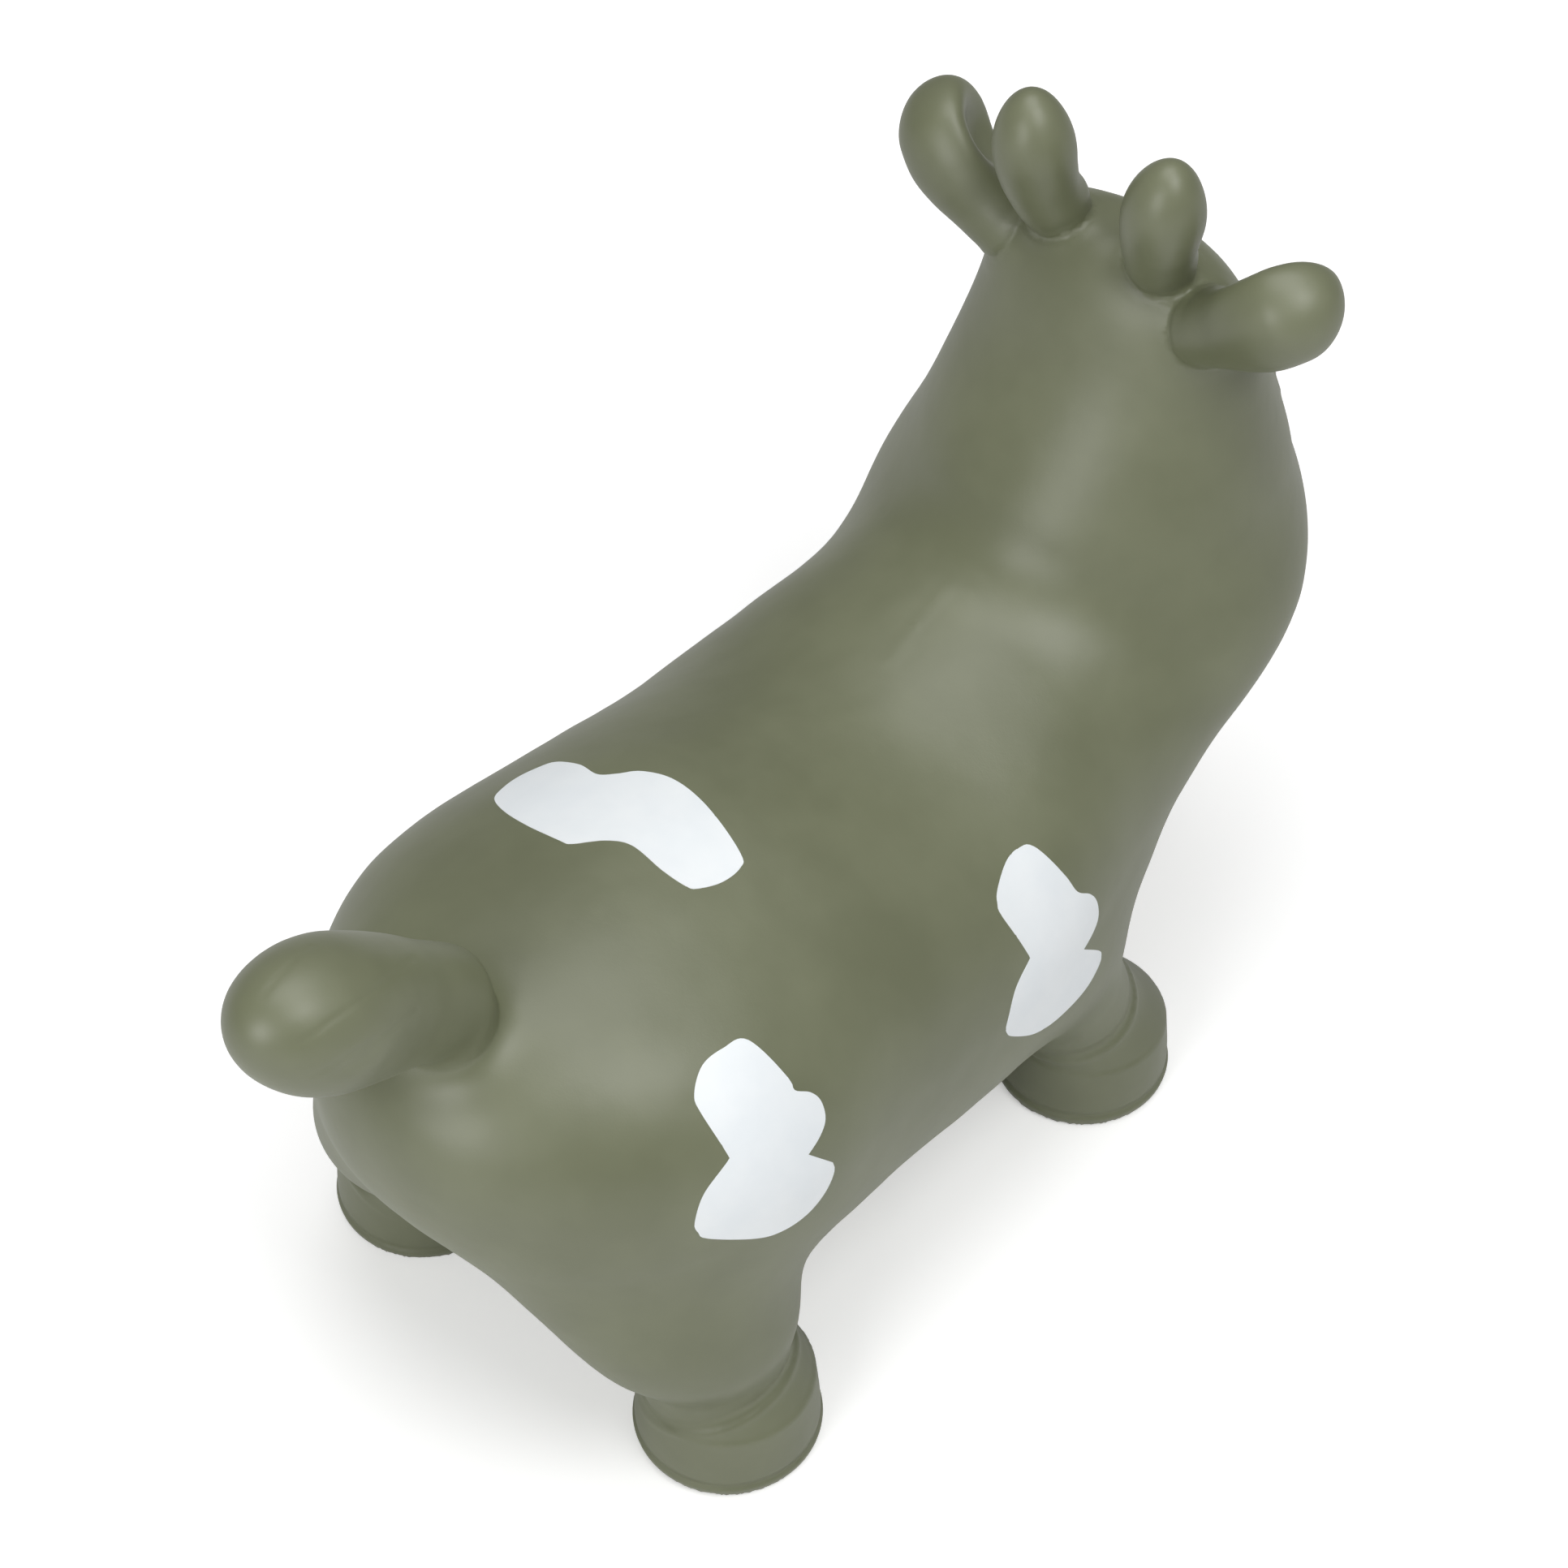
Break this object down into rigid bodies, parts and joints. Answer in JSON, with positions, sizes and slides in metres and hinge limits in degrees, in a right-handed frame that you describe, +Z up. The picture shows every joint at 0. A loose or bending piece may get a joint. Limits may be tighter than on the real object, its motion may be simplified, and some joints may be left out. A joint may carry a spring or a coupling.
{
  "type": "bouncy ride-on animal",
  "caption": "Blown-up rubber cow that a small child sits on and bounces, with soft ears and horns to hold and a stubby tail.",
  "frame": {"origin": "on the floor, under the middle of the cow's box", "axes": "+Z up, the cow faces -Y and its left side is +X"},
  "size_m": [0.2718, 0.601, 0.4584],
  "materials": {
    "rubber": "satin",
    "plug": "satin"
  },
  "bodies": {
    "feet": {"hoof_front_left": "rubber", "hoof_front_right": "rubber", "hoof_rear_left": "rubber", "hoof_rear_right": "rubber"},
    "torso": {"body": "rubber", "head": "rubber", "leg_front_left": "rubber", "leg_front_right": "rubber", "leg_rear_left": "rubber", "leg_rear_right": "rubber", "valve_seat": "rubber"},
    "left_ear": {"ear_left": "rubber"},
    "right_ear": {"ear_right": "rubber"},
    "left_horn": {"horn_left": "rubber"},
    "right_horn": {"horn_right": "rubber"},
    "tail_stub": {"tail": "rubber"},
    "plug": {"valve_plug": "plug"}
  },
  "joints": [
    {"name": "bounce", "type": "slide", "parent": "feet", "child": "torso", "axis": [0, 0, 1], "range_m": [-0.025, 0], "stiffness_N_per_m": 6000, "springref_m": 0.003, "deforming": ["leg_front_left", "leg_front_right", "leg_rear_left", "leg_rear_right"]},
    {"name": "ear_left_flap", "type": "hinge", "parent": "torso", "child": "left_ear", "pos_m": [0.0542, -0.20315, 0.37745], "axis": [0.23, 0.9732, 0], "range_deg": [-15, 15], "stiffness_Nm_per_rad": 2},
    {"name": "ear_right_flap", "type": "hinge", "parent": "torso", "child": "right_ear", "pos_m": [-0.0542, -0.20315, 0.37745], "axis": [0.23, -0.9732, 0], "range_deg": [-15, 15], "stiffness_Nm_per_rad": 2},
    {"name": "horn_left_bend", "type": "hinge", "parent": "torso", "child": "left_horn", "pos_m": [0.02855, -0.20076, 0.39674], "axis": [1, 0, 0], "range_deg": [-12, 12], "stiffness_Nm_per_rad": 2},
    {"name": "horn_right_bend", "type": "hinge", "parent": "torso", "child": "right_horn", "pos_m": [-0.02855, -0.20076, 0.39674], "axis": [1, 0, 0], "range_deg": [-12, 12], "stiffness_Nm_per_rad": 2},
    {"name": "tail_wag", "type": "hinge", "parent": "torso", "child": "tail_stub", "pos_m": [0, 0.20356, 0.26228], "axis": [1, 0, 0], "range_deg": [-12, 15], "stiffness_Nm_per_rad": 4},
    {"name": "plug_pull", "type": "slide", "parent": "torso", "child": "plug", "axis": [0, 0, -1], "range_m": [0, 0.02]}
  ]
}
